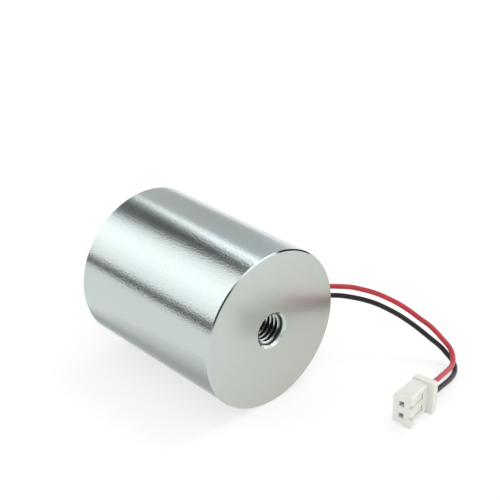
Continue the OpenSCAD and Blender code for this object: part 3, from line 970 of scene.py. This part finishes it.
class MAGNET_OT_stage(bpy.types.Operator):
    """Set up the floor, the light, the cards and the camera"""

    bl_idname = "magnet.stage"
    bl_label = "Stage"

    def execute(self, context):
        scene = context.scene
        settings = scene.magnet_stage
        self.make_world(scene, settings.fill)
        half = 3.0
        stage_mesh("stage_floor", [(-half, -half, 0), (half, -half, 0), (half, half, 0),
                                   (-half, half, 0)], [(0, 1, 2, 3)],
                   floor_finish(tuple(settings.floor), settings.paleness))
        self.shell_cards(Vector(settings.eye))
        self.thread_cards(Vector((FACE_X, 0, AXIS_Z)))
        middle = (0, 0, AXIS_Z)
        lamp = softbox("stage_softbox", centre=(0.32, -0.30, 0.40), size=(0.36, 0.44),
                       facing=middle, brightness=settings.softbox)
        lamp.visible_glossy = False
        softbox("stage_top_light", centre=(0.05, 0.25, 0.5), size=(0.2, 0.2),
                facing=middle, brightness=settings.top_light)
        self.make_camera(scene, settings)
        scene.view_settings.view_transform = "Standard"
        return {"FINISHED"}

    def shell_cards(self, eye):
        """The cards that give the shell and its rim their light and dark bands."""
        wall, rim = 0.0, math.radians(45)
        centre, ends, face = (0.0, 0.0), (SHELL_LOW.x, FACE_X), (FACE_X, FACE_X)
        for name, rear, front, feet, tilt, reach, width, glow in (
                ("stage_card_back", (42, 99.5), (42, 98), centre, wall, 0.60, 0.16,
                 (0.45, 0.57, 0.66, 0.3)),
                ("stage_streak", (100, 100.6), (97, 106.5), centre, wall, 0.59, 0.16,
                 (1.3, 1.9, 1.6, 0.4)),
                ("stage_flag_top", (98.5, 127.5), (107, 115.6), centre, wall, 0.58, 0.16,
                 (0.65, 0.1, 1.2, 0.32)),
                ("stage_glow", (115, 153), (115, 153), centre, wall, 0.62, 0.5,
                 (1.3, 1.66, 1.23, 0.5)),
                ("stage_flag_low", (148.5, 164), (150.5, 163), centre, wall, 0.58, 0.6,
                 (1.25, 0.15, 1.0, 0.45)),
                # a painted shadow: a card on the floor under the shell, darker than the floor,
                # that only the shell's reflections show
                ("stage_painted_floor_shadow", (195, 213), (179, 214), ends, wall, 0.0, 0.0,
                 (0.9, 0.5, 0.54, 0.6)),
                ("stage_flag_rim_top", (52, 86), (52, 86), face, rim, 0.03, 0.016,
                 (0.03, 0.03, 0.03, 0.5)),
                ("stage_glow_rim", (86, 118), (86, 118), face, rim, 0.40, 0.2,
                 (1.6, 1.6, 1.3, 0.3)),
                ("stage_flag_rim_left", (122, 161), (122, 161), face, rim, 0.03, 0.016,
                 (0.8, 0.1, 0.9, 0.25))):
            reflection_card(name, eye, rear, front, feet, tilt, reach, width, glow)

    def thread_cards(self, hole):
        """The cards that the thread mirrors: a dark one in front of it and a bright one beside."""
        front, left, right, low, high = 0.1, -0.05, 0.03, -0.012, 0.05
        beside, near, far, top = 0.2, 0.03, 0.27, 0.15
        for name, corners, glow in (
                ("stage_flag_front", ((front, left, low), (front, right, low),
                                      (front, right, high), (front, left, high)), 0.03),
                ("stage_glow_side", ((near, beside, low), (far, beside, low),
                                     (far, beside, top), (near, beside, top)), 1.7)):
            points = [hole + Vector(corner) for corner in corners]
            glowing_card(name, points, [(0, 1, 2, 3)], [0.0] * 4, [1.0] * 4,
                         (glow, glow, glow, 0.5))

    def make_camera(self, scene, settings):
        """The camera at the photograph's viewing angle."""
        camera_data = bpy.data.cameras.new("camera")
        camera_data.lens = settings.lens
        camera_data.sensor_width = 36
        camera_data.clip_start = 0.005
        camera = bpy.data.objects.new("camera", camera_data)
        camera.location = settings.eye
        camera.rotation_mode = "QUATERNION"
        camera.rotation_quaternion = Vector(settings.view).to_track_quat("-Z", "Y")
        scene.collection.objects.link(camera)
        scene.camera = camera

    def make_world(self, scene, fill):
        """A white surround, a little dimmer as a light than as a background."""
        world = bpy.data.worlds.new("stage_world")
        world.use_nodes = True
        tree = world.node_tree
        tree.nodes.clear()
        strength = tree.nodes.new("ShaderNodeMapRange")
        strength.inputs["To Min"].default_value = fill
        strength.inputs["To Max"].default_value = 1.0
        tree.links.new(seen_directly(tree), strength.inputs["Value"])
        background = tree.nodes.new("ShaderNodeBackground")
        background.inputs["Color"].default_value = (1, 1, 1, 1)
        tree.links.new(strength.outputs["Result"], background.inputs["Strength"])
        output = tree.nodes.new("ShaderNodeOutputWorld")
        tree.links.new(background.outputs[0], output.inputs["Surface"])
        scene.world = world


OPERATORS = (MAGNET_OT_connector, MAGNET_OT_leads, MAGNET_OT_steel, MAGNET_OT_thread,
             MAGNET_OT_resin, MAGNET_OT_grommet, MAGNET_OT_coil, MAGNET_OT_stage)


class MAGNET_PT_sidebar(bpy.types.Panel):
    """The magnet's pieces and settings"""

    bl_idname = "MAGNET_PT_sidebar"
    bl_label = "Holding Electromagnet"
    bl_space_type = "VIEW_3D"
    bl_region_type = "UI"
    bl_category = "Magnet"

    def draw(self, context):
        layout = self.layout
        for operator in OPERATORS:
            layout.operator(operator.bl_idname, text=operator.bl_label)
        for name in SETTINGS:
            box = layout.box()
            group = getattr(context.scene, name)
            for key in group.__annotations__:
                box.prop(group, key)


SETTINGS = {
    "magnet_leads": MagnetLeadSettings,
    "magnet_connector": MagnetConnectorSettings,
    "magnet_thread": MagnetThreadSettings,
    "magnet_finishes": MagnetFinishSettings,
    "magnet_stage": MagnetStageSettings,
}
CLASSES = (*SETTINGS.values(), *OPERATORS, MAGNET_PT_sidebar)


def register():
    for cls in CLASSES:
        bpy.utils.register_class(cls)
    for name, group in SETTINGS.items():
        setattr(bpy.types.Scene, name, PointerProperty(type=group))


def unregister():
    for name in SETTINGS:
        delattr(bpy.types.Scene, name)
    for cls in reversed(CLASSES):
        bpy.utils.unregister_class(cls)


def main():
    register()
    bpy.ops.magnet.connector()
    bpy.ops.magnet.leads()
    bpy.ops.magnet.steel()
    bpy.ops.magnet.thread()
    bpy.ops.magnet.resin()
    bpy.ops.magnet.grommet()
    bpy.ops.magnet.coil()
    bpy.ops.magnet.stage()


if __name__ == "__main__":
    main()
